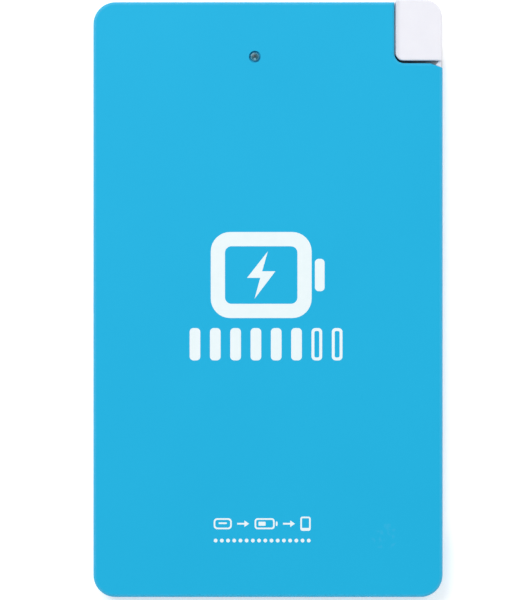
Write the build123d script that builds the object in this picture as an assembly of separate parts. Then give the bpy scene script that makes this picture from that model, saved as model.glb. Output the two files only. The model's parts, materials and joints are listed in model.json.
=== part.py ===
"""Card-shaped power bank whose output plug rests in a corner notch on a flat strap.

Frame, in millimetres: the case lies on its rear face. The origin is the centre of that face,
+Z points out of the front face, +Y runs up the card and +X runs to the card's right, where
the strap lies in a side channel. Each function returns one sub-part in its place.
"""
from build123d import *
import os

# Case
CARD_W = 54.0
CARD_H = 92.0
CARD_T = 6.0
CORNER_R = 3.4
EDGE_R = 0.4
PLATE_T = 0.9
WALL_T = 1.2
SEAM_Z = 3.0
SEAM_GAP = 0.1  # height and depth of the shadow line on each side of the seam
RIGHT = CARD_W / 2
TOP = CARD_H / 2
FRONT_Z = CARD_T - PLATE_T  # inner face of the front plate

# Corner notch that the plug's moulded body rests in
NOTCH_X = 19.55
NOTCH_Y = 36.56
NOTCH_R = 1.5
RELIEF_W = 1.9  # sloped relief on the corner between the notch and the right side
RELIEF_H = 0.7

# Strap and its side channel
STRAP_T = 1.1
STRAP_W = 3.9
STRAP_X = 26.3  # middle of the strap's thickness
STRAP_ROOT_Y = -29.5
STRAP_END_Y = 36.31
LINKS = 3
LINK_PITCH = (STRAP_END_Y - STRAP_ROOT_Y) / LINKS
LINK_GAP = 0.63  # from a pivot to the flat end of the next link
CHANNEL_X = 25.5
CHANNEL_END_Y = -37.0
CHANNEL_WALL = 0.8
MID_Z = CARD_T / 2

# Plug
OVERMOLD = (19.7, 26.95, 36.96, 46.45)  # low X, high X, low Y, high Y
OVERMOLD_Z = (0.2, 5.8)
OVERMOLD_EDGE_R = 0.28
PLUG_Y = 41.25
PLUG_W = 6.85
PLUG_T = 1.8
PLUG_REACH = 6.0
PLUG_ROOT = 1.2  # length of the metal shell inside the moulded body
PLUG_WALL = 0.25
POCKET_X = 13.3
POCKET_GAP_Y = 0.375
POCKET_GAP_Z = 0.3
POCKET_BLOCK_X = 12.4
POCKET_BLOCK_Y = 35.6

# Cavity of the case
CAVITY_LEFT = -RIGHT + WALL_T
CAVITY_RIGHT = CHANNEL_X - CHANNEL_WALL
CAVITY_LOW = -TOP + WALL_T
CAVITY_HIGH = TOP - WALL_T
CAVITY_R = 2.2
LIP_T = 0.4
LIP_H = 0.5
LIP_FIT = 0.05

# Indicator
WINDOW = (-2.04, 37.55)
WINDOW_R = 0.92
WINDOW_DEPTH = 0.6  # depth of the wider bore round the pipe's head
PIPE_HEAD_R = 0.64
PIPE_HEAD_FIT = 0.04
PIPE_STEM_R = 1.3
PIPE_STEM_DROP = 1.3  # from the front plate's inner face to the pipe's lower end
PIPE_FLANGE_R = 1.7
PIPE_FLANGE_T = 0.35
PIPE_RECESS = 0.1  # top of the dome below the front face
DOME_H = 0.1

# Main board
BOARD_Z = 1.5
BOARD_T = 0.8
BOARD_TOP = BOARD_Z + BOARD_T
BOARD_LEFT = -24.6
BOARD_RIGHT = 22.0
BOARD_LOW = 25.2
BOARD_STEP = 34.8
BOARD_HIGH = 44.0
POSTS = [(-20.0, 28.4), (-21.6, 41.6), (9.4, 41.8), (18.6, 28.4)]
POST_R = 0.7
BOSS_R = 1.7
POST_HOLE_R = 0.75

# Battery
CELL = (-25.2, 22.3, -44.2, 19.8)
TAPE_T = 0.1
CELL_Z = (PLATE_T + TAPE_T, 4.8)
CELL_EDGE_R = 1.4
TERRACE_END_Y = 24.2
TERRACE_Z = (2.4, 2.7)
TAB_T = 0.15
TAB_W = 4.0
TAB_X = (-14.0, 10.0)
GUARD_Z = (TERRACE_Z[1] + TAB_T, TERRACE_Z[1] + TAB_T + 0.6)  # protection board
LEAD_R = 0.45
BATTERY_LEAD_X = (0.4, -12.4)  # red, black
OUTPUT_LEAD_X = 23.55
OUTPUT_LEAD_Z = (3.9, 2.8)  # red, black

# Power button, on the left side
BUTTON_Y = 34.0
BUTTON_W = 7.0
BUTTON_H = 2.4
BUTTON_FIT = 0.1
BUTTON_TRAVEL = 0.3
FLANGE_OVER = 0.6
FLANGE_T = 0.5
PLUNGER = (-24.5, -23.2)
PLUNGER_W = 2.0
PLUNGER_H = 1.0
PLUNGER_Z = 3.3
SWITCH = (-23.9, -20.9)
SWITCH_W = 4.6
SWITCH_H = 2.0

# Charging socket, on the top side
SOCKET_X = -14.0
SOCKET_W = 7.5
SOCKET_H = 2.45
SOCKET_Y = (40.2, 45.6)
SOCKET_WALL = 0.3
SOCKET_Z = BOARD_TOP + SOCKET_H / 2
SOCKET_FIT = 0.35
CONTACTS = 5
CONTACT_PITCH = 0.65


def block(x_span, y_span, z_span):
    """Box between two corners, given as spans along X, Y and Z."""
    spans = (x_span, y_span, z_span)
    middle = [(low + high) / 2 for low, high in spans]
    return Pos(*middle) * Box(*[high - low for low, high in spans])


def slab(outline, z_span):
    """Flat outline in XY, extruded between two heights."""
    low, high = z_span
    return Pos(0, 0, low) * extrude(outline, high - low)


def rounded_outline(corners):
    """Closed outline through corners given as (x, y, corner radius); radius 0 stays sharp."""
    face = make_face(Polyline(*[(x, y) for x, y, _ in corners], close=True))
    for x, y, radius in corners:
        if radius:
            corner = face.vertices().sort_by_distance((x, y, 0))[0]
            face = fillet(corner, radius)
    return face


def case_outline(inset=0.0):
    """The card with its corner notch, pulled in all round by inset."""
    right = RIGHT - inset
    top = TOP - inset
    notch_x = NOTCH_X - inset
    notch_y = NOTCH_Y - inset
    return rounded_outline(
        [
            (-right, -top, CORNER_R - inset),
            (right, -top, CORNER_R - inset),
            (right, notch_y - RELIEF_H, 0.3),
            (right - RELIEF_W, notch_y, 0.3),
            (notch_x, notch_y, NOTCH_R + inset),
            (notch_x, top, 0),
            (-right, top, CORNER_R - inset),
        ]
    )


def cavity_outline(grow=0.0):
    """The hollow inside both covers, which steps round the plug's pocket."""
    radius = CAVITY_R + grow
    return rounded_outline(
        [
            (CAVITY_LEFT - grow, CAVITY_LOW - grow, radius),
            (CAVITY_RIGHT + grow, CAVITY_LOW - grow, radius),
            (CAVITY_RIGHT + grow, POCKET_BLOCK_Y + grow, 0.5),
            (POCKET_BLOCK_X + grow, POCKET_BLOCK_Y + grow, 0.5),
            (POCKET_BLOCK_X + grow, CAVITY_HIGH + grow, 0.5),
            (CAVITY_LEFT - grow, CAVITY_HIGH + grow, radius),
        ]
    )


def lip_ring(grow, height):
    """Ring on the seam, left out beside the channel and the pocket."""
    ring = cavity_outline(grow) - cavity_outline()
    beside_strap = block((POCKET_BLOCK_X - 2, RIGHT), (-40, TOP), (SEAM_Z, SEAM_Z + 1))
    return slab(ring, (SEAM_Z, SEAM_Z + height)) - beside_strap


def plug_pocket():
    """Room for the plug's metal shell, cut through the notch's left wall."""
    half_w = PLUG_W / 2 + POCKET_GAP_Y
    half_t = PLUG_T / 2 + POCKET_GAP_Z
    return block(
        (POCKET_X, NOTCH_X + 0.5), (PLUG_Y - half_w, PLUG_Y + half_w), (MID_Z - half_t, MID_Z + half_t)
    )


def strap_channel():
    """Channel in the right side, open sideways and into the notch."""
    return block((CHANNEL_X, RIGHT + 1), (CHANNEL_END_Y, NOTCH_Y + 1), (PLATE_T, FRONT_Z))


def root_slot():
    """Slot between the channel and the cavity that the strap's root passes through."""
    return block((CAVITY_RIGHT - 0.5, CHANNEL_X + 0.5), (-36.5, -32.5), (1.5, 4.5))


def button_hole():
    """Opening for the power button in the left side."""
    outline = SlotOverall(BUTTON_W + 2 * BUTTON_FIT, BUTTON_H + 2 * BUTTON_FIT)
    hole = extrude(outline, WALL_T + 2)
    return Pos(-RIGHT - 1, BUTTON_Y, MID_Z) * Rot(0, 90, 0) * Rot(0, 0, 90) * hole


def socket_hole():
    """Opening for the charging socket in the top side."""
    outline = RectangleRounded(SOCKET_W + 2 * SOCKET_FIT, SOCKET_H + 2 * SOCKET_FIT, 0.6)
    hole = extrude(outline, WALL_T + 2)
    return Pos(SOCKET_X, CAVITY_HIGH - 1, SOCKET_Z) * Rot(-90, 0, 0) * hole


def side_cuts():
    """Everything that is cut through the side walls of both covers."""
    return [plug_pocket(), strap_channel(), root_slot(), button_hole(), socket_hole()]


def cut_all(part, tools):
    """Part with each tool cut away in turn."""
    for tool in tools:
        part = part - tool
    return part


def rear_cover():
    """Tray with the side walls up to the seam, board posts and the seam's lip."""
    shell = slab(case_outline(), (0, SEAM_Z - SEAM_GAP))
    shell = fillet(shell.edges().group_by(Axis.Z)[0], EDGE_R)
    shell += slab(case_outline(SEAM_GAP), (SEAM_Z - SEAM_GAP, SEAM_Z))
    shell -= slab(cavity_outline(), (PLATE_T, SEAM_Z))
    shell += lip_ring(LIP_T, LIP_H)
    shell = cut_all(shell, side_cuts())
    for x, y in POSTS:
        shell += Pos(x, y, PLATE_T) * extrude(Circle(BOSS_R), BOARD_Z - PLATE_T)
        shell += Pos(x, y, BOARD_Z) * extrude(Circle(POST_R), BOARD_T + 0.4)
    return shell


def front_cover():
    """Front plate with a skirt down to the seam and a stepped window for the light pipe."""
    shell = slab(case_outline(), (SEAM_Z + SEAM_GAP, CARD_T))
    shell = fillet(shell.edges().group_by(Axis.Z)[-1], EDGE_R)
    shell += slab(case_outline(SEAM_GAP), (SEAM_Z, SEAM_Z + SEAM_GAP))
    shell -= slab(cavity_outline(), (SEAM_Z, FRONT_Z))
    shell -= lip_ring(LIP_T + LIP_FIT, LIP_H + LIP_FIT)
    shell = cut_all(shell, side_cuts())
    seat = Circle(PIPE_FLANGE_R + 0.55) - Circle(PIPE_FLANGE_R + 0.05)
    shell += Pos(*WINDOW, FRONT_Z - PIPE_FLANGE_T) * extrude(seat, PIPE_FLANGE_T)
    shell -= Pos(*WINDOW, FRONT_Z - 1) * extrude(Circle(PIPE_HEAD_R + PIPE_HEAD_FIT), PLATE_T + 2)
    shell -= Pos(*WINDOW, CARD_T - WINDOW_DEPTH) * extrude(Circle(WINDOW_R), PLATE_T)
    return shell


def light_pipe():
    """Clear pipe with a narrow domed head in the window and a flange behind the plate."""
    head_h = PLATE_T - PIPE_RECESS
    dome_r = (PIPE_HEAD_R**2 + DOME_H**2) / (2 * DOME_H)
    head = extrude(Circle(PIPE_HEAD_R), head_h) & Pos(0, 0, head_h - dome_r) * Sphere(dome_r)
    flange = Pos(0, 0, -PIPE_FLANGE_T) * extrude(Circle(PIPE_FLANGE_R), PIPE_FLANGE_T)
    stem = Pos(0, 0, -PIPE_STEM_DROP) * extrude(Circle(PIPE_STEM_R), PIPE_STEM_DROP - PIPE_FLANGE_T)
    return Pos(*WINDOW, FRONT_Z) * (flange + stem + head)


def light_shroud():
    """Foam ring that keeps the LED's light inside the pipe."""
    ring = Circle(PIPE_STEM_R + 1.2) - Circle(PIPE_STEM_R + 0.1)
    return Pos(*WINDOW, BOARD_TOP) * extrude(ring, FRONT_Z - PIPE_FLANGE_T - 0.1 - BOARD_TOP)


def indicator_led():
    """Small surface-mount LED below the pipe."""
    base = Box(1.6, 0.8, 0.4, align=(Align.CENTER, Align.CENTER, Align.MIN))
    lens = Pos(0, 0, 0.4) * Box(1.1, 0.8, 0.35, align=(Align.CENTER, Align.CENTER, Align.MIN))
    return Pos(*WINDOW, BOARD_TOP) * (base + lens)


def battery_cell():
    """Pouch cell with soft long edges."""
    left, right, low, high = CELL
    cell = block((left, right), (low, high), CELL_Z)
    cell = fillet(cell.edges().filter_by(Axis.Y), CELL_EDGE_R)
    return fillet(cell.edges().filter_by(Axis.X), 0.5)


def battery_terrace():
    """Sealed flange at the cell's end, where the tabs leave the pouch."""
    left, right, _, high = CELL
    return block((left + 1.5, right - 1.5), (high + 0.02, TERRACE_END_Y), TERRACE_Z)


def battery_tab(x):
    """Nickel tab lying on the terrace under the protection board."""
    return block((x - TAB_W / 2, x + TAB_W / 2), (CELL[3] + 0.3, 23.9), (TERRACE_Z[1], GUARD_Z[0]))


def protection_board():
    """Narrow board across both tabs."""
    return block((TAB_X[0] - 3, TAB_X[1] + 3), (20.3, TERRACE_END_Y - 0.2), GUARD_Z)


def protection_transistor():
    """Chip that cuts the cell off when it is too full or too empty."""
    body = block((-7.6, -4.6), (20.8, 23.6), (GUARD_Z[1], GUARD_Z[1] + 0.9))
    return chamfer(body.edges().group_by(Axis.Z)[-1], 0.15)


def battery_tape():
    """Thin adhesive sheet under the cell."""
    left, right, low, high = CELL
    return block((left + 3, right - 3), (low + 3, high - 3), (PLATE_T, CELL_Z[0]))


def foam_pad():
    """Thin foam between the cell and the front plate."""
    left, right, low, high = CELL
    return block((left + 5, right - 5), (low + 8, high - 8), (CELL_Z[1], FRONT_Z))


def lead(points, radius):
    """Insulated wire along straight runs joined by bends of one radius."""
    path = FilletPolyline(*points, radius=radius)
    return sweep(Plane(path @ 0, z_dir=path % 0) * Circle(LEAD_R), path=path)


def battery_lead(x):
    """Wire from the protection board down to the main board."""
    high_z = GUARD_Z[1] + LEAD_R + 0.03
    low_z = BOARD_TOP + LEAD_R + 0.03
    points = [(x, 21.2, high_z), (x, 24.2, high_z), (x, 26.4, low_z), (x, 29.2, low_z)]
    return lead(points, 1.5)


def output_lead(z, end_y):
    """Wire from the strap's root up the right side and onto the main board."""
    corner = (OUTPUT_LEAD_X, end_y, z)
    return lead([(OUTPUT_LEAD_X, -31.95, z), corner, (20.4, end_y, z)], 1.5)


def main_board():
    """Stepped circuit board with a hole over each post."""
    outline = rounded_outline(
        [
            (BOARD_LEFT, BOARD_LOW, 0.8),
            (BOARD_RIGHT, BOARD_LOW, 0.8),
            (BOARD_RIGHT, BOARD_STEP, 0.8),
            (11.6, BOARD_STEP, 0.8),
            (11.6, BOARD_HIGH, 0.8),
            (BOARD_LEFT, BOARD_HIGH, 0.8),
        ]
    )
    for x, y in POSTS:
        outline -= Pos(x, y) * Circle(POST_HOLE_R)
    return slab(outline, (BOARD_Z, BOARD_TOP))


def gull_chip(x, y, width, depth, height, pins):
    """Moulded chip with a row of feet along each long side, on the main board."""
    body = block((x - width / 2, x + width / 2), (y - depth / 2, y + depth / 2), (0.1, height))
    chip = chamfer(body.edges().group_by(Axis.Z)[-1], 0.15)
    pitch = width / pins
    for pin in range(pins):
        middle = x - width / 2 + (pin + 0.5) * pitch
        reach = depth / 2 + 0.6
        foot = block((middle - pitch / 4, middle + pitch / 4), (y - reach, y + reach), (0, 0.3))
        chip += foot
    return Pos(0, 0, BOARD_TOP) * chip


def charge_chip():
    """Charger controller."""
    return gull_chip(-8.0, 30.2, 4.9, 3.9, 1.4, 4)


def boost_chip():
    """Boost converter controller."""
    return gull_chip(14.2, 31.6, 4.9, 3.0, 1.2, 4)


def power_inductor():
    """Shielded inductor: a square core with a round bobbin showing through the top."""
    core = Box(5.8, 5.8, 2.2, align=(Align.CENTER, Align.CENTER, Align.MIN))
    core = chamfer(core.edges().filter_by(Axis.Z), 1.1)
    core -= Pos(0, 0, 1.9) * extrude(Circle(2.4) - Circle(1.9), 1)
    return Pos(4.6, 31.2, BOARD_TOP + 0.12) * core


def inductor_terminals():
    """Two solder plates under the inductor."""
    plate = Box(1.2, 3.0, 0.1, align=(Align.CENTER, Align.CENTER, Align.MIN))
    plates = [Pos(4.6 + side * 2.1, 31.2, BOARD_TOP) * plate for side in (-1, 1)]
    return Compound(children=plates)


def schottky_diode():
    """Flat diode with a strip lead at each end."""
    body = block((-1.3, 1.3), (-0.8, 0.8), (0.1, 1.1))
    diode = chamfer(body.edges().group_by(Axis.Z)[-1], 0.12)
    diode += block((-1.8, 1.8), (-0.45, 0.45), (0, 0.3))
    return Pos(4.6, 38.4, BOARD_TOP) * diode


def end_capped_chips(places, length, width, height):
    """Row of small two-ended parts, one solid each."""
    chips = []
    for x, y in places:
        body = block((x - length / 2, x + length / 2), (y - width / 2, y + width / 2), (0, height))
        chips.append(Pos(0, 0, BOARD_TOP) * fillet(body.edges().filter_by(Axis.Z), width / 12))
    return Compound(children=chips)


def ceramic_capacitors():
    """Bulk capacitors beside the inductor and the socket."""
    places = [(-2.6, 28.0), (-2.6, 30.4), (-2.6, 32.8), (9.4, 36.6), (-7.4, 41.6), (9.4, 34.0)]
    return end_capped_chips(places, 2.0, 1.25, 1.1)


def chip_resistors():
    """Small resistors between the chips."""
    places = [(-13.4 + 2.1 * column, 36.2 + 1.6 * row) for column in range(4) for row in range(2)]
    return end_capped_chips(places, 1.0, 0.5, 0.35)


def tact_switch():
    """Side-press switch with a pocket for its plunger."""
    y_span = (BUTTON_Y - SWITCH_W / 2, BUTTON_Y + SWITCH_W / 2)
    body = block(SWITCH, y_span, (BOARD_TOP, BOARD_TOP + SWITCH_H))
    half_w = PLUNGER_W / 2 + 0.05
    half_h = PLUNGER_H / 2 + 0.05
    hole = block(
        (SWITCH[0] - 1, PLUNGER[1] + BUTTON_TRAVEL + 0.1),
        (BUTTON_Y - half_w, BUTTON_Y + half_w),
        (PLUNGER_Z - half_h, PLUNGER_Z + half_h),
    )
    return chamfer(body.edges().group_by(Axis.Z)[-1], 0.15) - hole


def switch_plunger():
    """Plunger of the tact switch, which moves with the button."""
    y_span = (BUTTON_Y - PLUNGER_W / 2, BUTTON_Y + PLUNGER_W / 2)
    z_span = (PLUNGER_Z - PLUNGER_H / 2, PLUNGER_Z + PLUNGER_H / 2)
    return block(PLUNGER, y_span, z_span)


def power_button():
    """Pill-shaped button with a flange that keeps it inside the case."""
    upright = Rot(0, 90, 0) * Rot(0, 0, 90)
    cap_t = WALL_T
    cap = extrude(SlotOverall(BUTTON_W, BUTTON_H), cap_t)
    cap = fillet(cap.edges().group_by(Axis.Z)[0], 0.25)
    flange = RectangleRounded(BUTTON_W + 2 * FLANGE_OVER, BUTTON_H + 2 * FLANGE_OVER, 0.6)
    button = cap + Pos(0, 0, cap_t) * extrude(flange, FLANGE_T)
    face_x = CAVITY_LEFT + 0.05 - cap_t
    stem = block(
        (face_x + cap_t + FLANGE_T, PLUNGER[0]),
        (BUTTON_Y - PLUNGER_W / 2, BUTTON_Y + PLUNGER_W / 2),
        (PLUNGER_Z - PLUNGER_H / 2, PLUNGER_Z + PLUNGER_H / 2),
    )
    return Pos(face_x, BUTTON_Y, MID_Z) * upright * button + stem


def socket_profile(shrink=0.0):
    """Mouth of the charging socket: a rectangle with its two lower corners sloped."""
    half_w = SOCKET_W / 2 - shrink
    half_h = SOCKET_H / 2 - shrink
    slope = 0.9
    corners = [
        (-half_w, half_h),
        (half_w, half_h),
        (half_w, -half_h + slope),
        (half_w - slope, -half_h),
        (-half_w + slope, -half_h),
        (-half_w, -half_h + slope),
    ]
    return make_face(Polyline(*corners, close=True))


def along_socket(profile, y_span):
    """Profile of the socket's mouth, extruded along Y between two places."""
    low, high = y_span
    return Pos(SOCKET_X, high, SOCKET_Z) * Rot(90, 0, 0) * extrude(profile, high - low)


def input_socket_shell():
    """Bent steel shell of the charging socket, closed at the back."""
    low, high = SOCKET_Y
    tube = along_socket(socket_profile(), SOCKET_Y)
    return tube - along_socket(socket_profile(SOCKET_WALL), (low + SOCKET_WALL, high + 1))


def input_socket_tongue():
    """Plastic tongue inside the charging socket, with its base."""
    low, high = SOCKET_Y
    base = along_socket(socket_profile(SOCKET_WALL + 0.02), (low + SOCKET_WALL, low + 1.3))
    tongue_z = (SOCKET_Z + 0.05, SOCKET_Z + 0.65)
    return base + block((SOCKET_X - 1.85, SOCKET_X + 1.85), (low + 1.2, high - 0.7), tongue_z)


def input_socket_contacts():
    """Five contacts on the lower face of the tongue."""
    low, high = SOCKET_Y
    contacts = []
    for index in range(CONTACTS):
        x = SOCKET_X + (index - (CONTACTS - 1) / 2) * CONTACT_PITCH
        z_span = (SOCKET_Z - 0.05, SOCKET_Z + 0.05)
        contacts.append(block((x - 0.15, x + 0.15), (low + 1.32, high - 0.9), z_span))
    return Compound(children=contacts)


def strap_block(y_span):
    """Straight stretch of the strap with square ends."""
    x_span = (STRAP_X - STRAP_T / 2, STRAP_X + STRAP_T / 2)
    return block(x_span, y_span, (MID_Z - STRAP_W / 2, MID_Z + STRAP_W / 2))


def strap_end(y):
    """Round end of a strap piece about the pivot at y."""
    return Pos(STRAP_X, y, MID_Z - STRAP_W / 2) * extrude(Circle(STRAP_T / 2), STRAP_W)


def strap_root():
    """Fixed end of the strap: moulded anchor in the channel, keyed through the inner wall."""
    anchor = block((CHANNEL_X + 0.02, RIGHT - 0.1), (CHANNEL_END_Y + 0.05, -30.6), (0.95, 5.05))
    neck = block((CAVITY_RIGHT - 0.1, CHANNEL_X + 0.1), (-36.4, -32.6), (1.6, 4.4))
    key = block((CAVITY_RIGHT - 1.8, CAVITY_RIGHT - 0.05), (-36.6, -32.0), (1.3, 4.7))
    return anchor + neck + key + strap_block((-31.0, STRAP_ROOT_Y)) + strap_end(STRAP_ROOT_Y)


def strap_link(index):
    """Length of strap between two pivots, flat at the lower one and round at the upper one."""
    low = STRAP_ROOT_Y + index * LINK_PITCH
    high = low + LINK_PITCH
    return strap_block((low + LINK_GAP, high)) + strap_end(high)


def plug_profile(shrink=0.0):
    """Section of the plug's shell: a flat tube with two corners sloped."""
    half_w = PLUG_W / 2 - shrink
    half_t = PLUG_T / 2 - shrink
    slope = 0.7
    corners = [
        (-half_w, half_t),
        (half_w, half_t),
        (half_w, -half_t + slope),
        (half_w - slope, -half_t),
        (-half_w + slope, -half_t),
        (-half_w, -half_t + slope),
    ]
    return make_face(Polyline(*corners, close=True))


def along_plug(profile, x_span):
    """Plug section extruded along X between two places."""
    low, high = x_span
    return Pos(low, PLUG_Y, MID_Z) * Rot(0, 90, 0) * Rot(0, 0, 90) * extrude(profile, high - low)


def plug_overmold():
    """Moulded body of the plug, with one large outer corner."""
    left, right, low, high = OVERMOLD
    outline = rounded_outline(
        [(left, low, 1.24), (right, low, 0.3), (right, high, 2.8), (left, high, 0.4)]
    )
    body = slab(outline, OVERMOLD_Z)
    body = fillet(body.edges().group_by(Axis.Z)[-1], OVERMOLD_EDGE_R)
    body = fillet(body.edges().group_by(Axis.Z)[0], OVERMOLD_EDGE_R)
    return body - along_plug(plug_profile(), (left - 1, left + PLUG_ROOT))


def plug_shell():
    """Metal shell of the plug, open at the tip."""
    left = OVERMOLD[0]
    tip = left - PLUG_REACH
    tube = along_plug(plug_profile(), (tip, left + PLUG_ROOT))
    return tube - along_plug(plug_profile(PLUG_WALL), (tip - 1, left + PLUG_ROOT))


def plug_tongue():
    """Plastic insert at the shell's back, with the contact carrier in front of it."""
    left = OVERMOLD[0]
    filler = along_plug(plug_profile(PLUG_WALL), (left - 1.2, left + PLUG_ROOT))
    half_w = 2.6
    carrier_z = (MID_Z + 0.15, MID_Z + PLUG_T / 2 - PLUG_WALL)
    carrier = block(
        (left - PLUG_REACH + 0.6, left - 1.1), (PLUG_Y - half_w, PLUG_Y + half_w), carrier_z
    )
    return filler + carrier


def plug_contacts():
    """Five contact strips under the carrier."""
    left = OVERMOLD[0]
    strips = []
    for index in range(CONTACTS):
        y = PLUG_Y + (index - (CONTACTS - 1) / 2) * CONTACT_PITCH
        x_span = (left - PLUG_REACH + 0.9, left - 1.25)
        strips.append(block(x_span, (y - 0.15, y + 0.15), (MID_Z + 0.03, MID_Z + 0.13)))
    return Compound(children=strips)


def plug_latches():
    """Two sprung hooks that stand out of the shell's rear face."""
    tip = OVERMOLD[0] - PLUG_REACH
    floor_z = MID_Z - PLUG_T / 2
    wedge = make_face(Polyline((0, 0), (1.1, 0), (0.8, -0.16), close=True))
    hooks = []
    for side in (-1, 1):
        hook = Rot(90, 0, 0) * extrude(wedge, 0.7, both=True)
        hooks.append(Pos(tip + 1.6, PLUG_Y + side * 1.7, floor_z) * hook)
    return Compound(children=hooks)


SUB_PARTS = {
    "rear_cover": rear_cover,
    "front_cover": front_cover,
    "light_pipe": light_pipe,
    "light_shroud": light_shroud,
    "indicator_led": indicator_led,
    "battery_cell": battery_cell,
    "battery_terrace": battery_terrace,
    "battery_tab_negative": lambda: battery_tab(TAB_X[0]),
    "battery_tab_positive": lambda: battery_tab(TAB_X[1]),
    "protection_board": protection_board,
    "protection_transistor": protection_transistor,
    "battery_tape": battery_tape,
    "foam_pad": foam_pad,
    "battery_lead_red": lambda: battery_lead(BATTERY_LEAD_X[0]),
    "battery_lead_black": lambda: battery_lead(BATTERY_LEAD_X[1]),
    "main_board": main_board,
    "charge_chip": charge_chip,
    "boost_chip": boost_chip,
    "power_inductor": power_inductor,
    "inductor_terminals": inductor_terminals,
    "schottky_diode": schottky_diode,
    "ceramic_capacitors": ceramic_capacitors,
    "chip_resistors": chip_resistors,
    "tact_switch": tact_switch,
    "switch_plunger": switch_plunger,
    "power_button": power_button,
    "input_socket_shell": input_socket_shell,
    "input_socket_tongue": input_socket_tongue,
    "input_socket_contacts": input_socket_contacts,
    "output_lead_red": lambda: output_lead(OUTPUT_LEAD_Z[0], 30.0),
    "output_lead_black": lambda: output_lead(OUTPUT_LEAD_Z[1], 27.6),
    "strap_root": strap_root,
    "strap_lower": lambda: strap_link(0),
    "strap_middle": lambda: strap_link(1),
    "strap_upper": lambda: strap_link(2),
    "plug_overmold": plug_overmold,
    "plug_shell": plug_shell,
    "plug_tongue": plug_tongue,
    "plug_contacts": plug_contacts,
    "plug_latches": plug_latches,
}


def main():
    """Write each sub-part to its own STEP file."""
    os.makedirs("parts", exist_ok=True)
    for name, build in SUB_PARTS.items():
        export_step(build(), f"parts/{name}.step")


main()
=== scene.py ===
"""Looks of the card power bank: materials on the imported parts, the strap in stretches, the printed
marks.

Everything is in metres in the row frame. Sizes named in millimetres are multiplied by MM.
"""
import json
import math

import bmesh
import bpy
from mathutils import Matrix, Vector


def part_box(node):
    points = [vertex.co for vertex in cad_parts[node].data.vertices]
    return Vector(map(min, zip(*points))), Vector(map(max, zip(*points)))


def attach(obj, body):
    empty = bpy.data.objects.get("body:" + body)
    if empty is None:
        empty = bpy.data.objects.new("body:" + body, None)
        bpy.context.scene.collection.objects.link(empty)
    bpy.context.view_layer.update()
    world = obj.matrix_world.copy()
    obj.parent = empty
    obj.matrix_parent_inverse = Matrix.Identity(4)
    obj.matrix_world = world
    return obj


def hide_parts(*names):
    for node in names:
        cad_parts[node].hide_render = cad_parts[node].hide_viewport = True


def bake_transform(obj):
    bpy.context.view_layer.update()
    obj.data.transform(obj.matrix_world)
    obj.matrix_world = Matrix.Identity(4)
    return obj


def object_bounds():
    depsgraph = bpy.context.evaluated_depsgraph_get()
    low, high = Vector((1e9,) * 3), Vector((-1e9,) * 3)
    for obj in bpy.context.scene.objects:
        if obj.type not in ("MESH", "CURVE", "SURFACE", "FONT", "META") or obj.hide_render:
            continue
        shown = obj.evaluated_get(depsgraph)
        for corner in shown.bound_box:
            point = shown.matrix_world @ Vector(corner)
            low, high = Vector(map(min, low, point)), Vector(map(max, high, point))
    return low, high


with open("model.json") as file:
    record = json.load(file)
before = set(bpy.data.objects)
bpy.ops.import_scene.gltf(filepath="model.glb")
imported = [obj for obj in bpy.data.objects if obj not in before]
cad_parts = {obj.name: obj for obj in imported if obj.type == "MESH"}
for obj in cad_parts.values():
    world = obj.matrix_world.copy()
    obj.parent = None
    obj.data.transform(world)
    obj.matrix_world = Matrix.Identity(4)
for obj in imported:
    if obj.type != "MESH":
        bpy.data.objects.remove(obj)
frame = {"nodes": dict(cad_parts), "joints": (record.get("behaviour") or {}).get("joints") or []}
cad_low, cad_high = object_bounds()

MM = 0.001
NODES = frame["nodes"]
JOINTS = {joint["name"]: joint for joint in frame["joints"]}

# ---------------------------------------------------------------- places read from the frame
FRONT_LOW, FRONT_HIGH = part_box("front_cover")
FACE_Z = FRONT_HIGH.z
SEAM_Z = FRONT_LOW.z
HALF_W = FRONT_HIGH.x
HALF_H = FRONT_HIGH.y
PLUG_LOW, PLUG_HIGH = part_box("plug_overmold")
NOTCH_X = PLUG_LOW.x / MM - 0.15  # left side of the notch, past its gap beside the plug, in millimetres
NOTCH_Y = PLUG_LOW.y / MM - 0.40  # floor of the notch, past its gap below the plug
NOTCH_R = 1.5
CORNER_R = 3.4  # corners of the card's outline
PIPE_LOW, PIPE_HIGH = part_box("light_pipe")
WINDOW = (PIPE_LOW + PIPE_HIGH) / 2
PIVOTS = [
    Vector(JOINTS[name]["pos_m"])
    for name in ("strap_swing", "strap_bend_low", "strap_bend_high", "plug_turn")
]


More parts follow.
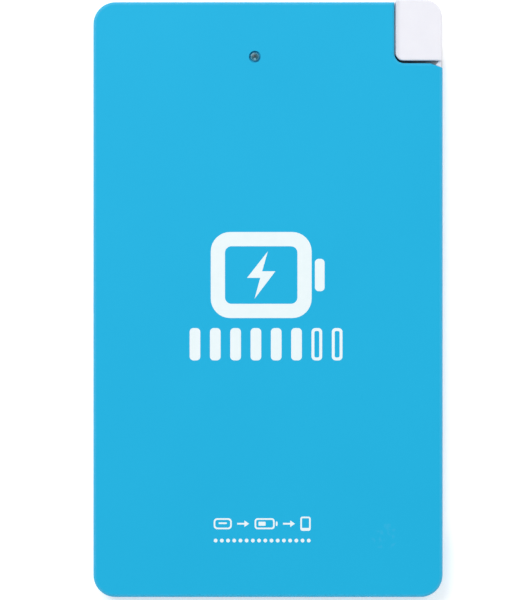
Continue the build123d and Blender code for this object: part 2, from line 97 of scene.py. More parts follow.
# ---------------------------------------------------------------- node helpers
class Shader:
    """A Principled material with short calls for the node patterns used here."""

    def __init__(self, name, **sockets):
        self.material = bpy.data.materials.new(name)
        self.material.use_nodes = True
        self.nodes = self.material.node_tree.nodes
        self.links = self.material.node_tree.links
        self.bsdf = self.nodes["Principled BSDF"]
        self.coords = None
        for socket, value in sockets.items():
            self.bsdf.inputs[socket.replace("_", " ")].default_value = value

    def add(self, kind, operation=None, **inputs):
        """New node, with its operation and any inputs given by name: values or sockets."""
        node = self.nodes.new(kind)
        if operation:
            node.operation = operation
        for name, value in inputs.items():
            self.feed(node.inputs[name.replace("_", " ")], value)
        return node

    def feed(self, socket, value):
        """Link a socket to the input, or set a plain value."""
        if isinstance(value, bpy.types.NodeSocket):
            self.links.new(value, socket)
        else:
            socket.default_value = value

    def millimetres(self):
        """The row frame's coordinates in millimetres."""
        if self.coords is None:
            source = self.add("ShaderNodeTexCoord").outputs["Object"]
            scaled = self.add("ShaderNodeVectorMath", "SCALE", Scale=1 / MM)
            self.links.new(source, scaled.inputs[0])
            self.coords = scaled.outputs[0]
        return self.coords

    def stretched(self, x, y, z):
        """Millimetre coordinates, scaled along each axis."""
        node = self.add("ShaderNodeVectorMath", "MULTIPLY")
        self.links.new(self.millimetres(), node.inputs[0])
        node.inputs[1].default_value = (x, y, z)
        return node.outputs[0]

    def axis(self, name):
        """One coordinate in millimetres."""
        split = self.add("ShaderNodeSeparateXYZ", Vector=self.millimetres())
        return split.outputs[name]

    def noise(self, scale, detail=2.0, rough=0.5, vector=None):
        """Noise from 0 to 1, with its scale per millimetre."""
        vector = vector or self.millimetres()
        node = self.add("ShaderNodeTexNoise", Vector=vector, Scale=scale, Detail=detail, Roughness=rough)
        return node.outputs[0]

    def math(self, operation, first, second=0.0, clamp=False):
        """Math node on two values or sockets."""
        node = self.add("ShaderNodeMath", operation)
        node.use_clamp = clamp
        self.feed(node.inputs[0], first)
        self.feed(node.inputs[1], second)
        return node.outputs[0]

    def ramp(self, value, low, high, start=0.0, end=1.0):
        """Map a value from low..high to start..end, smoothly and clamped."""
        node = self.add("ShaderNodeMapRange")
        node.interpolation_type = "SMOOTHSTEP"
        for name, number in (("From Min", low), ("From Max", high), ("To Min", start), ("To Max", end)):
            node.inputs[name].default_value = number
        self.feed(node.inputs["Value"], value)
        return node.outputs[0]

    def mix(self, factor, first, second):
        """Colour mix."""
        node = self.nodes.new("ShaderNodeMix")
        node.data_type = "RGBA"
        self.feed(node.inputs["Factor"], factor)
        self.feed(node.inputs[6], first)
        self.feed(node.inputs[7], second)
        return node.outputs[2]

    def colour(self, value):
        """Base colour of the surface."""
        self.feed(self.bsdf.inputs["Base Color"], value)
        return self

    def rough(self, value):
        """Roughness of the surface."""
        self.feed(self.bsdf.inputs["Roughness"], value)
        return self

    def bump(self, height, depth_mm, strength=1.0):
        """Relief from a height of 0 to 1 that stands for depth_mm. Later calls add to earlier ones."""
        node = self.add("ShaderNodeBump", Height=height, Distance=depth_mm * MM, Strength=strength)
        normal = self.bsdf.inputs["Normal"]
        if normal.is_linked:
            self.links.new(normal.links[0].from_socket, node.inputs["Normal"])
        self.links.new(node.outputs[0], normal)
        return self

    def outside(self):
        """Distance outside the card's rounded outline in millimetres, negative near the edge inside."""
        size = self.add("ShaderNodeVectorMath", "ABSOLUTE")
        self.links.new(self.millimetres(), size.inputs[0])
        past = self.add("ShaderNodeVectorMath", "SUBTRACT")
        self.links.new(size.outputs[0], past.inputs[0])
        past.inputs[1].default_value = (HALF_W / MM - CORNER_R, HALF_H / MM - CORNER_R, 99.0)
        kept = self.add("ShaderNodeVectorMath", "MAXIMUM")
        self.links.new(past.outputs[0], kept.inputs[0])
        kept.inputs[1].default_value = (0, 0, 0)
        length = self.add("ShaderNodeVectorMath", "LENGTH")
        self.links.new(kept.outputs[0], length.inputs[0])
        return self.math("SUBTRACT", length.outputs["Value"], CORNER_R)

    def from_edge(self):
        """Distance inside the nearest edge of the front face in millimetres, the notch included."""
        away = self.add("ShaderNodeVectorMath", "SUBTRACT")
        away.inputs[0].default_value = (NOTCH_X + NOTCH_R, NOTCH_Y + NOTCH_R, 0.0)
        self.links.new(self.millimetres(), away.inputs[1])
        flat = self.add("ShaderNodeVectorMath", "MULTIPLY")
        self.links.new(away.outputs[0], flat.inputs[0])
        flat.inputs[1].default_value = (1, 1, 0)
        kept = self.add("ShaderNodeVectorMath", "MAXIMUM")
        self.links.new(flat.outputs[0], kept.inputs[0])
        kept.inputs[1].default_value = (0, 0, 0)
        length = self.add("ShaderNodeVectorMath", "LENGTH")
        self.links.new(kept.outputs[0], length.inputs[0])
        from_notch = self.math("SUBTRACT", length.outputs["Value"], NOTCH_R)
        return self.math("MINIMUM", from_notch, self.math("MULTIPLY", self.outside(), -1.0))

    def ring(self, x, y, radius, width):
        """1 on a ring round a vertical axis through (x, y), in millimetres, and 0 elsewhere."""
        offset = self.add("ShaderNodeVectorMath", "SUBTRACT")
        self.links.new(self.millimetres(), offset.inputs[0])
        offset.inputs[1].default_value = (x, y, 0)
        flat = self.add("ShaderNodeVectorMath", "MULTIPLY")
        self.links.new(offset.outputs[0], flat.inputs[0])
        flat.inputs[1].default_value = (1, 1, 0)
        length = self.add("ShaderNodeVectorMath", "LENGTH")
        self.links.new(flat.outputs[0], length.inputs[0])
        off = self.math("ABSOLUTE", self.math("SUBTRACT", length.outputs["Value"], radius))
        return self.ramp(off, width / 2, width / 2 + 0.05, 1.0, 0.0)


def rgb(red, green, blue):
    """Linear colour from the 0 to 255 numbers of a display colour."""
    linear = []
    for value in (red, green, blue):
        share = value / 255
        linear.append(share / 12.92 if share <= 0.04045 else ((share + 0.055) / 1.055) ** 2.4)
    return (*linear, 1.0)


# ---------------------------------------------------------------- materials
SCUFF_PLACE = (18.0, -36.5)  # faint scuffed patch near the card's lower right corner, in millimetres
SCUFF_SIZE = 4.2
BORE_MIDDLE_R = 0.8  # middle of the ring of bore that shows round the window, and the ring's width
BORE_RING_W = 0.4


def painted_edge_highlight(shader):
    """How much the plastic is painted paler, most along the front face's outline: a painted highlight for
    the white surroundings reflected on the rounded edges.
    """
    outline = shader.ramp(shader.outside(), -0.6, 0.0, 0.0, 0.24)
    edge_sheen = shader.math("MAXIMUM", shader.ramp(shader.from_edge(), 0.0, 0.45, 0.14, 0.0), outline)
    uneven = shader.ramp(shader.noise(1.5, 3.0), 0.2, 0.8, 0.5, 1.0)
    near_face = shader.ramp(shader.axis("Z"), FACE_Z / MM - 0.9, FACE_Z / MM - 0.2, 0.2, 1.0)
    return shader.math("MULTIPLY", shader.math("MULTIPLY", edge_sheen, uneven), near_face)


def window_bore(shader):
    """How much the plastic is in shade, inside the bore round the indicator window."""
    below_face = shader.ramp(shader.axis("Z"), FACE_Z / MM - 0.35, FACE_Z / MM - 0.05, 0.12, 0.0)
    around = shader.ring(WINDOW.x / MM, WINDOW.y / MM, BORE_MIDDLE_R, BORE_RING_W)
    return shader.math("MULTIPLY", below_face, around)


def case_plastic():
    """Soft-touch blue plastic: fine moulded grain, edges made paler by a painted highlight, a dark seam
    and a few soft scuffs.
    """
    shader = Shader("case_plastic", Specular_IOR_Level=0.21)
    scuffed = rgb(150, 215, 235)
    base = shader.mix(shader.noise(0.06, 3.0), rgb(2, 169, 215), rgb(8, 173, 218))
    speck = shader.ramp(shader.noise(9.0, 1.0), 0.62, 0.75, 0.0, 0.10)
    base = shader.mix(speck, base, rgb(56, 190, 228))
    streaks = shader.noise(1.0, 4.0, 0.7, shader.stretched(3.0, 0.25, 1.0))
    scuff = shader.ramp(streaks, 0.66, 0.78)
    base = shader.mix(shader.math("MULTIPLY", scuff, 0.05), base, scuffed)
    patchy = shader.ramp(shader.noise(1.6, 3.0), 0.5, 0.7, 0.0, 0.045)
    mark = shader.math("MULTIPLY", shader.ring(*SCUFF_PLACE, 0.0, SCUFF_SIZE), patchy)
    base = shader.mix(mark, base, scuffed)
    # Painted highlight: the edges are mixed towards a pale blue-grey, as if reflecting the white
    # surroundings.
    base = shader.mix(painted_edge_highlight(shader), base, rgb(150, 186, 204))
    from_seam = shader.math("ABSOLUTE", shader.math("SUBTRACT", shader.axis("Z"), SEAM_Z / MM))
    base = shader.mix(shader.ramp(from_seam, 0.1, 0.2, 0.6, 0.0), base, rgb(12, 92, 124))
    shader.colour(shader.mix(window_bore(shader), base, rgb(40, 120, 146)))
    mottle = shader.math("MULTIPLY", shader.noise(0.4, 3.0), 0.06)
    roughness = shader.math("ADD", mottle, shader.math("MULTIPLY", scuff, 0.08))
    shader.rough(shader.math("ADD", roughness, 0.45))
    shader.bump(shader.noise(14.0, 2.0), 0.006)
    return shader.bump(shader.noise(1.6, 2.0), 0.004)


def white_elastomer(name, scale=1.0):
    """White moulded elastomer: satin, slightly warm in the hollows, with fine handling marks."""
    shader = Shader(name, Specular_IOR_Level=0.4, Subsurface_Weight=0.08, Subsurface_Scale=0.6 * MM)
    shader.bsdf.inputs["Subsurface Radius"].default_value = (1.0, 0.9, 0.8)
    cloud = shader.noise(0.35 * scale, 3.0)
    base = shader.mix(cloud, rgb(227, 227, 235), rgb(233, 233, 240))
    dust = shader.ramp(shader.noise(5.0 * scale, 3.0, 0.6), 0.68, 0.8)
    shader.colour(shader.mix(shader.math("MULTIPLY", dust, 0.10), base, rgb(200, 198, 196)))
    shader.rough(shader.math("ADD", shader.math("MULTIPLY", shader.noise(1.2, 3.0), 0.14), 0.40))
    return shader.bump(shader.noise(10.0, 2.0), 0.005)


def plug_plastic():
    """The plug's moulded body: a parting line round its middle, and painted shade on the side in the
    notch.
    """
    shader = white_elastomer("plug_white")
    low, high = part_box("plug_overmold")
    shade_width = 1.0
    unshaded_base = shader.bsdf.inputs["Base Color"].links[0].from_socket
    # Painted shade: a bluish darkening over the first millimetre of the plug's side beside the notch.
    plug_edge_shade = shader.ramp(shader.axis("X"), low.x / MM, low.x / MM + shade_width, 0.22, 0.0)
    shader.colour(shader.mix(plug_edge_shade, unshaded_base, rgb(90, 130, 160)))
    middle = (low.z + high.z) / 2 / MM
    away = shader.math("ABSOLUTE", shader.math("SUBTRACT", shader.axis("Z"), middle))
    return shader.bump(shader.ramp(away, 0.0, 0.09), 0.04)


def print_ink():
    """Matt white pad-print ink, a little uneven, so that the blue shows faintly in pinholes."""
    shader = Shader("print_ink", Specular_IOR_Level=0.3)
    cover = shader.ramp(shader.noise(7.0, 3.0, 0.6), 0.70, 0.80)
    base = shader.mix(shader.noise(0.8), rgb(224, 238, 241), rgb(232, 242, 245))
    shader.colour(shader.mix(shader.math("MULTIPLY", cover, 0.2), base, rgb(130, 205, 232)))
    shader.rough(shader.math("ADD", shader.math("MULTIPLY", shader.noise(3.0), 0.1), 0.5))
    return shader.bump(shader.noise(18.0, 1.0), 0.004)


def window_lens():
    """Smoky clear plastic over an unlit LED: dark in the middle, with a painted highlight near the rim
    and a painted glint on the lower part.
    """
    shader = Shader("window_lens", Specular_IOR_Level=0.3)
    x, y = WINDOW.x / MM, WINDOW.y / MM
    base = shader.mix(shader.noise(4.0), rgb(24, 74, 90), rgb(50, 98, 112))
    # Painted glint: a pale spot on the lower part of the lens.
    base = shader.mix(shader.ring(x, y - 0.36, 0.0, 0.34), base, rgb(112, 158, 176))
    base = shader.mix(shader.ring(x, y + 0.1, 0.0, 0.3), base, rgb(34, 52, 62))
    # Painted highlight: a paler ring near the rim of the lens.
    shader.colour(shader.mix(shader.ring(x, y, 0.58, 0.1), base, rgb(64, 138, 162)))
    shader.rough(shader.math("ADD", shader.math("MULTIPLY", shader.noise(2.0), 0.06), 0.24))
    return shader.bump(shader.noise(1.5), 0.002)


def bright_metal(name, colour, grain, low_rough, high_rough):
    """Plated sheet metal with a rolled grain along one direction."""
    shader = Shader(name, Metallic=1.0)
    lines = shader.noise(1.0, 3.0, 0.6, shader.stretched(*grain))
    tone = tuple(channel * 0.86 for channel in colour[:3]) + (1.0,)
    shader.colour(shader.mix(shader.noise(0.8, 3.0), tone, colour))
    shader.rough(shader.ramp(lines, 0.3, 0.7, low_rough, high_rough))
    return shader.bump(lines, 0.002)


def moulded(name, dark, light, roughness=0.45, grain=10.0, depth=0.006, **sockets):
    """Small moulded part with a mottled colour and a fine texture."""
    shader = Shader(name, **sockets)
    shader.colour(shader.mix(shader.noise(1.4, 3.0), dark, light))
    shader.rough(shader.math("ADD", shader.math("MULTIPLY", shader.noise(3.0), 0.15), roughness))
    return shader.bump(shader.noise(grain, 2.0), depth)


def solder_mask(name, holes):
    """Green circuit board with copper runs under the mask and a bare gold ring at each hole."""
    shader = Shader(name, Specular_IOR_Level=0.5, Coat_Weight=0.4, Coat_Roughness=0.2)
    cells = shader.add("ShaderNodeTexBrick", Vector=shader.millimetres(), Scale=0.42)
    cells.inputs["Mortar Size"].default_value = 0.11
    cells.inputs["Mortar Smooth"].default_value = 0.2
    runs = cells.outputs["Fac"]
    base = shader.mix(shader.noise(0.7, 3.0), rgb(10, 70, 42), rgb(16, 88, 52))
    base = shader.mix(shader.math("MULTIPLY", runs, 0.7), base, rgb(40, 124, 72))
    rings = 0.0
    for x, y in holes:
        rings = shader.math("MAXIMUM", shader.ring(x, y, 1.05, 0.5), rings)
    shader.colour(shader.mix(rings, base, rgb(214, 176, 96)))
    shader.rough(shader.math("ADD", shader.math("MULTIPLY", shader.noise(2.0), 0.1), 0.28))
    return shader.bump(runs, 0.03)


def end_capped(name, middle, cap, half_length, columns):
    """Two-ended chip parts: a ceramic or black middle with tinned ends, by distance from each centre."""
    shader = Shader(name, Specular_IOR_Level=0.5)
    away = 99.0
    for x in columns:
        offset = shader.math("ABSOLUTE", shader.math("SUBTRACT", shader.axis("X"), x))
        away = shader.math("MINIMUM", offset, away)
    ends = shader.ramp(away, half_length * 0.55, half_length * 0.62)
    base = shader.mix(shader.noise(5.0), middle, tuple(c * 1.25 for c in middle[:3]) + (1.0,))
    shader.colour(shader.mix(ends, base, cap))
    shader.feed(shader.bsdf.inputs["Metallic"], ends)
    shader.rough(shader.math("ADD", shader.math("MULTIPLY", shader.noise(6.0), 0.15), 0.3))
    return shader.bump(shader.noise(12.0), 0.004)


def pouch_foil():
    """Laminated aluminium pouch: dull silver with soft creases and shallow dimples."""
    shader = Shader("pouch_foil", Metallic=0.85)
    creases = shader.noise(0.35, 5.0, 0.6)
    shader.colour(shader.mix(creases, rgb(176, 180, 186), rgb(206, 208, 212)))
    shader.rough(shader.ramp(shader.noise(1.5, 4.0), 0.3, 0.7, 0.28, 0.44))
    shader.bump(creases, 0.12)
    return shader.bump(shader.noise(6.0, 2.0), 0.008)


BOARD_HOLES = [(-20.0, 28.4), (-21.6, 41.6), (9.4, 41.8), (18.6, 28.4)]  # in millimetres
CAPACITOR_X = (-7.4, -2.6, 9.4)
RESISTOR_X = (-13.4, -11.3, -9.2, -7.1)


def paint_parts():
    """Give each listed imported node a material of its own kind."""
    gold = bright_metal("contact_gold", rgb(228, 186, 104), (1.0, 8.0, 1.0), 0.16, 0.3)
    steel = bright_metal("shell_steel", rgb(206, 206, 204), (1.5, 9.0, 1.5), 0.2, 0.28)
    nickel = bright_metal("nickel_strip", rgb(198, 196, 188), (8.0, 1.0, 1.0), 0.25, 0.42)
    tin = bright_metal("tin_plate", rgb(206, 206, 208), (5.0, 5.0, 5.0), 0.25, 0.5)
    blue = case_plastic()
    epoxy = moulded("chip_epoxy", rgb(22, 22, 24), rgb(38, 38, 40), 0.5, 16.0, 0.01)
    black = moulded("tongue_black", rgb(16, 16, 17), rgb(30, 30, 32), 0.38)
    red_wire = moulded("wire_red", rgb(150, 14, 16), rgb(176, 24, 24), 0.32, 4.0, 0.01)
    black_wire = moulded("wire_black", rgb(14, 14, 15), rgb(26, 26, 28), 0.32, 4.0, 0.01)
    foil = pouch_foil()
    solder = rgb(206, 206, 204)
    painted = {
        "rear_cover": blue,
        "front_cover": blue,
        "light_pipe": window_lens(),
        "light_shroud": moulded("black_foam", rgb(12, 12, 12), rgb(34, 34, 34), 0.85, 5.0, 0.08),
        "indicator_led": moulded("led_package", rgb(232, 228, 190), rgb(244, 240, 214), 0.3),
        "battery_cell": foil,
        "battery_terrace": foil,
        "battery_tab_negative": nickel,
        "battery_tab_positive": nickel,
        "protection_board": solder_mask("guard_board", []),
        "protection_transistor": epoxy,
        "battery_tape": moulded("adhesive", rgb(226, 226, 220), rgb(240, 240, 236), 0.6, 3.0, 0.02),
        "foam_pad": moulded("pad_foam", rgb(24, 24, 26), rgb(46, 46, 50), 0.9, 5.0, 0.06),
        "battery_lead_red": red_wire,
        "battery_lead_black": black_wire,
        "main_board": solder_mask("board", BOARD_HOLES),
        "charge_chip": epoxy,
        "boost_chip": epoxy,
        "power_inductor": moulded("ferrite", rgb(52, 52, 54), rgb(78, 78, 80), 0.62, 7.0, 0.03),
        "inductor_terminals": tin,
        "schottky_diode": epoxy,
        "ceramic_capacitors": end_capped("ceramic", rgb(150, 118, 84), solder, 1.0, CAPACITOR_X),
        "chip_resistors": end_capped("resistor", rgb(20, 20, 24), solder, 0.5, RESISTOR_X),
        "tact_switch": moulded("switch_body", rgb(24, 24, 25), rgb(40, 40, 42), 0.42),
        "switch_plunger": moulded("switch_plunger", rgb(206, 202, 190), rgb(226, 222, 210), 0.4),
        "power_button": moulded("button_plastic", rgb(226, 229, 236), rgb(238, 240, 246), 0.36),
        "input_socket_shell": steel,
        "input_socket_tongue": black,
        "input_socket_contacts": gold,
        "output_lead_red": red_wire,
        "output_lead_black": black_wire,
        "plug_overmold": plug_plastic(),
        "plug_shell": steel,
        "plug_tongue": black,
        "plug_contacts": gold,
        "plug_latches": tin,
    }
    for node, shader in painted.items():
        for slot in NODES[node].material_slots:
            slot.material = shader.material


# ---------------------------------------------------------------- mesh helpers
def new_piece(name, mesh, shader, body=None):
    """Object from a mesh, with its material and the body it rides on."""
    piece = bpy.data.objects.new(name, mesh)
    bpy.context.scene.collection.objects.link(piece)
    mesh.materials.clear()
    mesh.materials.append(shader.material)
    if body:
        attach(piece, body)
    return piece


def smooth_by_angle(mesh, degrees):
    """Smooth shading with sharp edges kept above an angle."""
    for face in mesh.polygons:
        face.use_smooth = True
    mesh.set_sharp_from_angle(angle=math.radians(degrees))


def tube_mesh(name, rings):
    """Closed mesh through rings of points, each ring the same length, with a cap at each end."""
    builder = bmesh.new()
    rows = [[builder.verts.new(point) for point in ring] for ring in rings]
    count = len(rows[0])
    for low, high in zip(rows, rows[1:]):
        for index in range(count):
            after = (index + 1) % count
            builder.faces.new((low[index], low[after], high[after], high[index]))
    builder.faces.new(rows[0])
    builder.faces.new(tuple(reversed(rows[-1])))
    bmesh.ops.recalc_face_normals(builder, faces=builder.faces)
    mesh = bpy.data.meshes.new(name)
    builder.to_mesh(mesh)
    builder.free()
    smooth_by_angle(mesh, 40)
    return mesh


def round_rect(width, height, radius, steps=6, centre=(0.0, 0.0)):
    """Points of a rounded rectangle in a plane, anticlockwise."""
    points = []
    for quarter in range(4):
        turn = quarter * math.pi / 2
        side_x = 1 if quarter in (0, 3) else -1
        side_y = 1 if quarter in (0, 1) else -1
        corner_x = centre[0] + side_x * (width / 2 - radius)
        corner_y = centre[1] + side_y * (height / 2 - radius)
        for step in range(steps + 1):
            angle = turn + step / steps * math.pi / 2
            points.append((corner_x + radius * math.cos(angle), corner_y + radius * math.sin(angle)))
    return points


# ---------------------------------------------------------------- strap
STRAP_LOW, STRAP_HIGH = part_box("strap_middle")
STRAP_MID = (STRAP_LOW + STRAP_HIGH) / 2
STRAP_T = STRAP_HIGH.x - STRAP_LOW.x
STRAP_W = STRAP_HIGH.z - STRAP_LOW.z
STRAP_EDGE_R = 0.42 * MM
RING_STEP = 0.4 * MM
GROOVE_DEPTH = 0.07 * MM  # shallow valley between the strap's two wires
GROOVE_W = 0.38 * MM
FACE_SHARES = [share / 8 * abs(share / 8) for share in range(-7, 8)]  # closer together in the valley
THIN_LOSS = 0.64 * MM  # thickness lost on the inner face where the strap enters the plug
THIN_RUN = 0.8 * MM


def strap_ring(y, thickness=STRAP_T, width=STRAP_W, groove=GROOVE_DEPTH, shift=0.0):
    """Section of the strap at y: a flat cable with rounded edges and a valley down each face."""
    radius = min(STRAP_EDGE_R, 0.48 * thickness)
    outline = round_rect(thickness, width, radius, 7)
    for share in FACE_SHARES:
        for side in (-1, 1):
            outline.append((side * thickness / 2, share * (width / 2 - radius)))
    outline.sort(key=lambda point: math.atan2(point[1] * thickness / width, point[0]))
    ring = []
    for x, z in outline:
        valley = groove * math.exp(-((z / GROOVE_W) ** 2))
        ring.append((STRAP_MID.x + shift + x - math.copysign(valley, x), y, STRAP_MID.z + z))
    return ring


def strap_piece(name, start_y, end_y, shader, thin_from=None):
    """Stretch of the strap between two heights; it may thin out on its inner face."""
    count = max(2, round((end_y - start_y) / RING_STEP))
    rings = []
    for step in range(count + 1):
        y = start_y + (end_y - start_y) * step / count
        share = 0.0 if thin_from is None else min(max((y - thin_from) / THIN_RUN, 0.0), 1.0)
        loss = THIN_LOSS * share
        rings.append(strap_ring(y, STRAP_T - loss, shift=loss / 2))
    return new_piece(name, tube_mesh(name, rings), shader)


def build_strap():
    """Four stretches of strap in place of the three CAD links, one across each hinge."""
    shader = white_elastomer("strap_white", 1.4)
    anchor_low, anchor_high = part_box("strap_root")
    plug_low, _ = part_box("plug_overmold")
    reach = (PIVOTS[1] - PIVOTS[0]) / 2
    places = [PIVOTS[0] - Vector((0, 1.2 * MM, 0))]
    places += [pivot + reach for pivot in PIVOTS[:3]]
    places.append(Vector((STRAP_MID.x, plug_low.y + 0.3 * MM, STRAP_MID.z)))
    names = ["strap_low_bend", "strap_lower_stretch", "strap_upper_stretch", "strap_top_bend"]
    for index, name in enumerate(names):
        thin_from = plug_low.y - THIN_RUN if index == 3 else None
        piece = strap_piece(name, places[index].y, places[index + 1].y, shader, thin_from)
        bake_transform(piece)
        if index < 3:
            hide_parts(("strap_lower", "strap_middle", "strap_upper")[index])
    build_anchor(shader, anchor_low, places[0].y)
    build_strain_relief(shader, plug_low.y)


def build_anchor(shader, low, top_y):
    """Moulded root of the strap: a ribbed block in the channel, tapering into the strap."""
    block_t, block_w = 1.35 * MM, 4.08 * MM
    shoulder_y = top_y - 1.4 * MM
    rib_pitch = 1.3 * MM
    rings = []
    count = 90
    for step in range(count + 1):
        y = low.y + (top_y - low.y) * step / count
        taper = min(max((y - shoulder_y) / (top_y - shoulder_y), 0.0), 1.0)
        taper = taper * taper * (3 - 2 * taper)
        rib = 0.5 + 0.5 * math.cos((y - low.y) / rib_pitch * 2 * math.pi)
        notch = 0.32 * MM * (1 - min(1.0, rib * 2.2)) * (1 - taper)
        end_round = max(0.0, 1 - (y - low.y) / (0.35 * MM))
        shrink = notch + 0.12 * MM * end_round**2
        thickness = block_t + (STRAP_T - block_t) * taper - shrink
        width = block_w + (STRAP_W - block_w) * taper - shrink * 0.4
        rings.append(strap_ring(y, thickness, width, GROOVE_DEPTH * taper))
    piece = new_piece("strap_anchor", tube_mesh("strap_anchor", rings), shader, "case")
    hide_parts("strap_root")
    key = strap_key_mesh()
    new_piece("strap_anchor_key", key, shader, "case")


def strap_key_mesh():
    """Inner end of the anchor, keyed through the wall, which the two leads come out of."""
    low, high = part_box("strap_root")
    wall_x = STRAP_LOW.x - 0.25 * MM
    sections = [
        (low.x, 3.2, 4.4),
        (low.x + 0.2 * MM, 3.4, 4.6),
        (low.x + 1.75 * MM, 3.4, 4.6),
        (low.x + 1.76 * MM, 2.8, 3.8),
        (wall_x, 2.8, 3.8),
    ]
    middle_y = -34.3 * MM
    rings = []
    for x, tall, wide in sections:
        outline = round_rect(wide * MM, tall * MM, 0.4 * MM)
        rings.append([(x, middle_y + u, STRAP_MID.z + v) for u, v in outline])
    return tube_mesh("strap_anchor_key", rings)


def build_strain_relief(shader, plug_y):
    """Low collar on the plug's body round the thinned end of the strap."""
    rings = []
    sections = [(-0.2, 0.06, 0.10), (-0.16, 0.14, 0.20), (-0.06, 0.20, 0.28), (0.25, 0.24, 0.34)]
    for offset, thicker, wider in sections:
        thickness = STRAP_T - THIN_LOSS + thicker * MM
        y = plug_y + offset * MM
        rings.append(strap_ring(y, thickness, STRAP_W + wider * MM, 0.0, (THIN_LOSS - 0.06 * MM) / 2))
    new_piece("strap_collar", tube_mesh("strap_collar", rings), shader, "plug")


# ---------------------------------------------------------------- printed marks
INK_RISE = 0.012 * MM
INK_SINK = 0.03 * MM


def polygon_curve(name, outlines):
    """Filled flat curve through closed outlines, where an outline inside another is a hole."""
    curve = bpy.data.curves.new(name, "CURVE")
    curve.dimensions = "2D"
    curve.fill_mode = "BOTH"
    for outline in outlines:
        spline = curve.splines.new("POLY")
        spline.points.add(len(outline) - 1)
        for point, (x, y) in zip(spline.points, outline):
            point.co = (x, y, 0, 1)
        spline.use_cyclic_u = True
    return curve


def ink_mesh(name, outlines):
    """Thin ink shape about the height 0, from outlines in metres."""
    curve = polygon_curve(name, outlines)
    curve.extrude = (INK_RISE + INK_SINK) / 2
    carrier = bpy.data.objects.new(name + "_outline", curve)
    mesh = bpy.data.meshes.new_from_object(carrier)
    bpy.data.objects.remove(carrier)
    bpy.data.curves.remove(curve)
    mesh.name = name
    builder = bmesh.new()
    builder.from_mesh(mesh)
    bmesh.ops.remove_doubles(builder, verts=builder.verts, dist=1e-7)
    bmesh.ops.translate(builder, verts=builder.verts, vec=(0, 0, (INK_RISE - INK_SINK) / 2))
    bmesh.ops.recalc_face_normals(builder, faces=builder.faces)
    builder.to_mesh(mesh)
    builder.free()
    return mesh


def printed_mark(name, outlines, shader):
    """Thin ink shape on the front face."""
    mesh = ink_mesh(name, outlines)
    for vertex in mesh.vertices:
        vertex.co.z += FACE_Z
    return new_piece(name, mesh, shader, "case")


def pill(x, y, width, height, radius=None):
    """Rounded bar centred at (x, y), all in millimetres, as points in metres."""
    radius = min(width, height) / 2 - 0.001 if radius is None else radius
    return [(px * MM, py * MM) for px, py in round_rect(width, height, radius, 8, (x, y))]


def bolt(x, y, height):
    """Plain zigzag bolt centred at (x, y), in millimetres, as points in metres."""
    shape = [(0.14, 0.5), (-0.30, -0.06), (-0.02, -0.06), (-0.14, -0.5), (0.30, 0.08), (0.02, 0.08)]
    return [((x + u * height) * MM, (y + v * height) * MM) for u, v in shape]


def print_battery_sign(shader):
    """Battery pictogram with a bolt in it, in the middle of the card."""
    x, y = -1.05, 3.8
    body_w, body_h, line = 15.6, 13.3, 2.2
    frame_outer = pill(x, y, body_w, body_h, 3.0)
    frame_inner = pill(x, y, body_w - 2 * line, body_h - 2 * line, 1.0)
    printed_mark("battery_sign_frame", [frame_outer, frame_inner], shader)
    printed_mark("battery_sign_terminal", [pill(x + body_w / 2 + 1.25, y, 1.5, 5.0, 0.6)], shader)
    printed_mark("battery_sign_bolt", [bolt(x, y, 7.3)], shader)


def print_level_row(shader):
    """Row of eight rounded bars under the pictogram, like a charge gauge with two bars to go."""
    count, pitch, width, height = 8, 3.14, 1.65, 5.0
    middle_x, y = -0.3, -6.9
    for index in range(count):
        x = middle_x + (index - (count - 1) / 2) * pitch
        outlines = [pill(x, y, width, height, 0.6)]
        if index >= count - 2:
            outlines.append(pill(x, y, width - 0.9, height - 0.9, 0.25))
        printed_mark(f"gauge_bar_{index + 1}", outlines, shader)


def arrow(x, y):
    """Small arrow to the right centred near (x, y), in millimetres, as points in metres."""
    tail, neck, tip, shaft, head = -0.95, 0.16, 0.9, 0.13, 0.5
    lower = [(tail, -shaft), (neck, -shaft), (neck, -head)]
    upper = [(neck, head), (neck, shaft), (tail, shaft)]
    return [((x + u) * MM, (y + v) * MM) for u, v in lower + [(tip, 0)] + upper]


def print_small_rows(shader):
    """Two small rows near the lower edge: socket, battery and phone signs, and a dotted line."""
    y = -34.65
    socket_x, battery_x, phone_x = -7.0, -0.52, 5.8
    socket = [pill(socket_x, y, 2.8, 1.7, 0.55), pill(socket_x, y, 2.3, 1.2, 0.35)]
    battery = [pill(battery_x, y, 3.1, 1.7, 0.45), pill(battery_x, y, 2.6, 1.2, 0.25)]
    phone = [pill(phone_x, y, 1.6, 2.2, 0.35), pill(phone_x, y + 0.1, 1.1, 1.5, 0.1)]
    printed_mark("socket_sign", socket, shader)
    printed_mark("socket_sign_tongue", [pill(socket_x, y + 0.08, 1.3, 0.26)], shader)
    printed_mark("battery_small_frame", battery, shader)
    printed_mark("battery_small_charge", [pill(battery_x - 0.4, y, 1.1, 0.62, 0.1)], shader)
    printed_mark("battery_small_terminal", [pill(battery_x + 1.86, y, 0.28, 0.7)], shader)
    printed_mark("phone_sign", phone, shader)
    printed_mark("arrow_1", [arrow(-3.81, y)], shader)
    printed_mark("arrow_2", [arrow(3.27, y)], shader)
    count, pitch, middle_x, dots_y = 16, 0.96, -0.9, -37.25
    for index in range(count):
        x = middle_x + (index - (count - 1) / 2) * pitch
        printed_mark(f"lower_dot_{index + 1}", [pill(x, dots_y, 0.58, 0.58)], shader)


def broken_ring(radius, line, opening, steps=28):
    """Outline of a ring with a gap at its top: outer arc one way, inner arc back."""
    outer, inner = [], []
    for step in range(steps + 1):
        angle = math.pi / 2 + opening + (2 * math.pi - 2 * opening) * step / steps
        for arc, edge in ((outer, radius + line / 2), (inner, radius - line / 2)):
            arc.append((edge * math.cos(angle), edge * math.sin(angle)))
    return outer + inner[::-1]


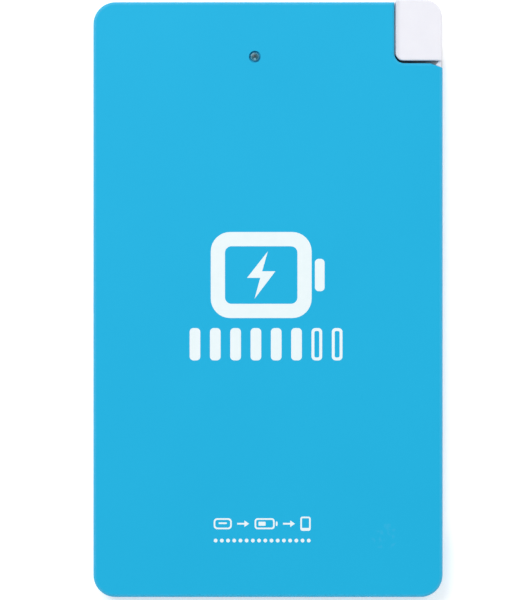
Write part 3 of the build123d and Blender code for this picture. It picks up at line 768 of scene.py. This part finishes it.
def print_power_sign():
    """Small grey power sign on the button: a broken ring with a short bar."""
    shader = moulded("print_ink_grey", rgb(118, 124, 132), rgb(136, 142, 150), 0.5, 16.0, 0.003)
    low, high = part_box("power_button")
    middle = (low + high) / 2
    line = 0.2
    marks = {
        "power_sign_ring": broken_ring(0.62, line, math.radians(38)),
        "power_sign_bar": round_rect(line, 0.62, 0.09, 6, (0.0, 0.45)),
    }
    for name, outline in marks.items():
        mesh = ink_mesh(name, [[(u * MM, v * MM) for u, v in outline]])
        for vertex in mesh.vertices:
            u, v, w = vertex.co
            vertex.co = (low.x - w, middle.y - u, middle.z + v)
        new_piece(name, mesh, shader, "button")


def build_prints():
    """All printed marks."""
    shader = print_ink()
    print_battery_sign(shader)
    print_level_row(shader)
    print_small_rows(shader)
    print_power_sign()


# ---------------------------------------------------------------- studio
FLOOR_SIZE = 4.0
HORIZON = 1.06  # world strength at the horizon and overhead
ZENITH = 0.52
KEY_POWER = 4.15
FILL_POWER = 0.75
FLOOR_GLOW = 0.36  # lifts the floor beside the card to white, as on a lit table
FAR_GLOW = 0.4  # added to it towards the horizon, so that the floor meets the background
VIEW_H = 92.76 * MM  # height of the view at the card's face
VIEW_CENTRE = (-0.3092 * MM, -0.0618 * MM)  # point of the face in the middle of the view
CAMERA_RISE = 1.2


def build_floor():
    """Plain pale floor, glowing round the card and in the open part of the notch, dark under the card."""
    mesh = bpy.data.meshes.new("floor")
    half = FLOOR_SIZE / 2
    corners = [(-half, -half, 0), (half, -half, 0), (half, half, 0), (-half, half, 0)]
    mesh.from_pydata(corners, [], [(0, 1, 2, 3)])
    shader = Shader("floor", Specular_IOR_Level=0.1)
    shader.colour(shader.mix(shader.noise(0.02), (0.90, 0.90, 0.90, 1), (0.92, 0.92, 0.92, 1)))
    shader.bsdf.inputs["Roughness"].default_value = 0.9
    shader.bsdf.inputs["Emission Color"].default_value = (1.0, 1.0, 1.0, 1.0)
    outside = shader.outside()
    near = shader.ramp(outside, 0.0, 0.2, 0.0, FLOOR_GLOW)
    past_x = shader.math("SUBTRACT", shader.axis("X"), NOTCH_X)
    past_y = shader.math("SUBTRACT", shader.axis("Y"), NOTCH_Y)
    in_notch = shader.ramp(shader.math("MINIMUM", past_x, past_y), 1.0, 2.6, 0.0, FLOOR_GLOW)
    near = shader.math("MAXIMUM", near, in_notch)
    far = shader.ramp(outside, 100.0, 900.0, 0.0, FAR_GLOW)
    shader.feed(shader.bsdf.inputs["Emission Strength"], shader.math("ADD", near, far))
    mesh.materials.append(shader.material)
    floor = bpy.data.objects.new("floor", mesh)
    floor.location.z = cad_low.z - 0.02 * MM
    bpy.context.scene.collection.objects.link(floor)


def area_light(name, place, size, power):
    """Square soft box aimed at the card."""
    data = bpy.data.lights.new(name, "AREA")
    data.shape = "SQUARE"
    data.size = size
    data.energy = power
    lamp = bpy.data.objects.new(name, data)
    lamp.location = place
    lamp.rotation_euler = (-Vector(place)).to_track_quat("-Z", "Y").to_euler()
    bpy.context.scene.collection.objects.link(lamp)


def build_lights():
    """White surroundings, brighter at the horizon, with a soft key from the upper left."""
    world = bpy.data.worlds.new("studio")
    world.use_nodes = True
    nodes, links = world.node_tree.nodes, world.node_tree.links
    direction = nodes.new("ShaderNodeTexCoord")
    split = nodes.new("ShaderNodeSeparateXYZ")
    links.new(direction.outputs["Generated"], split.inputs[0])
    fade = nodes.new("ShaderNodeMapRange")
    links.new(split.outputs["Z"], fade.inputs["Value"])
    for name, value in (("From Min", 0.05), ("From Max", 0.4), ("To Min", HORIZON), ("To Max", ZENITH)):
        fade.inputs[name].default_value = value
    background = nodes["Background"]
    background.inputs["Color"].default_value = (1.0, 1.0, 1.0, 1.0)
    links.new(fade.outputs[0], background.inputs["Strength"])
    bpy.context.scene.world = world
    area_light("key", (-0.24, 0.34, 0.75), 0.45, KEY_POWER)
    area_light("fill", (0.42, 0.30, 0.80), 0.3, FILL_POWER)
    bpy.context.scene.view_settings.view_transform = "Standard"


def build_camera():
    """Long lens straight above the card."""
    data = bpy.data.cameras.new("camera")
    camera = bpy.data.objects.new("camera", data)
    data.lens = data.sensor_width * CAMERA_RISE / VIEW_H
    camera.location = (*VIEW_CENTRE, FACE_Z + CAMERA_RISE)
    bpy.context.scene.collection.objects.link(camera)
    bpy.context.scene.camera = camera


build_camera()
build_floor()
build_lights()
paint_parts()
build_strap()
build_prints()
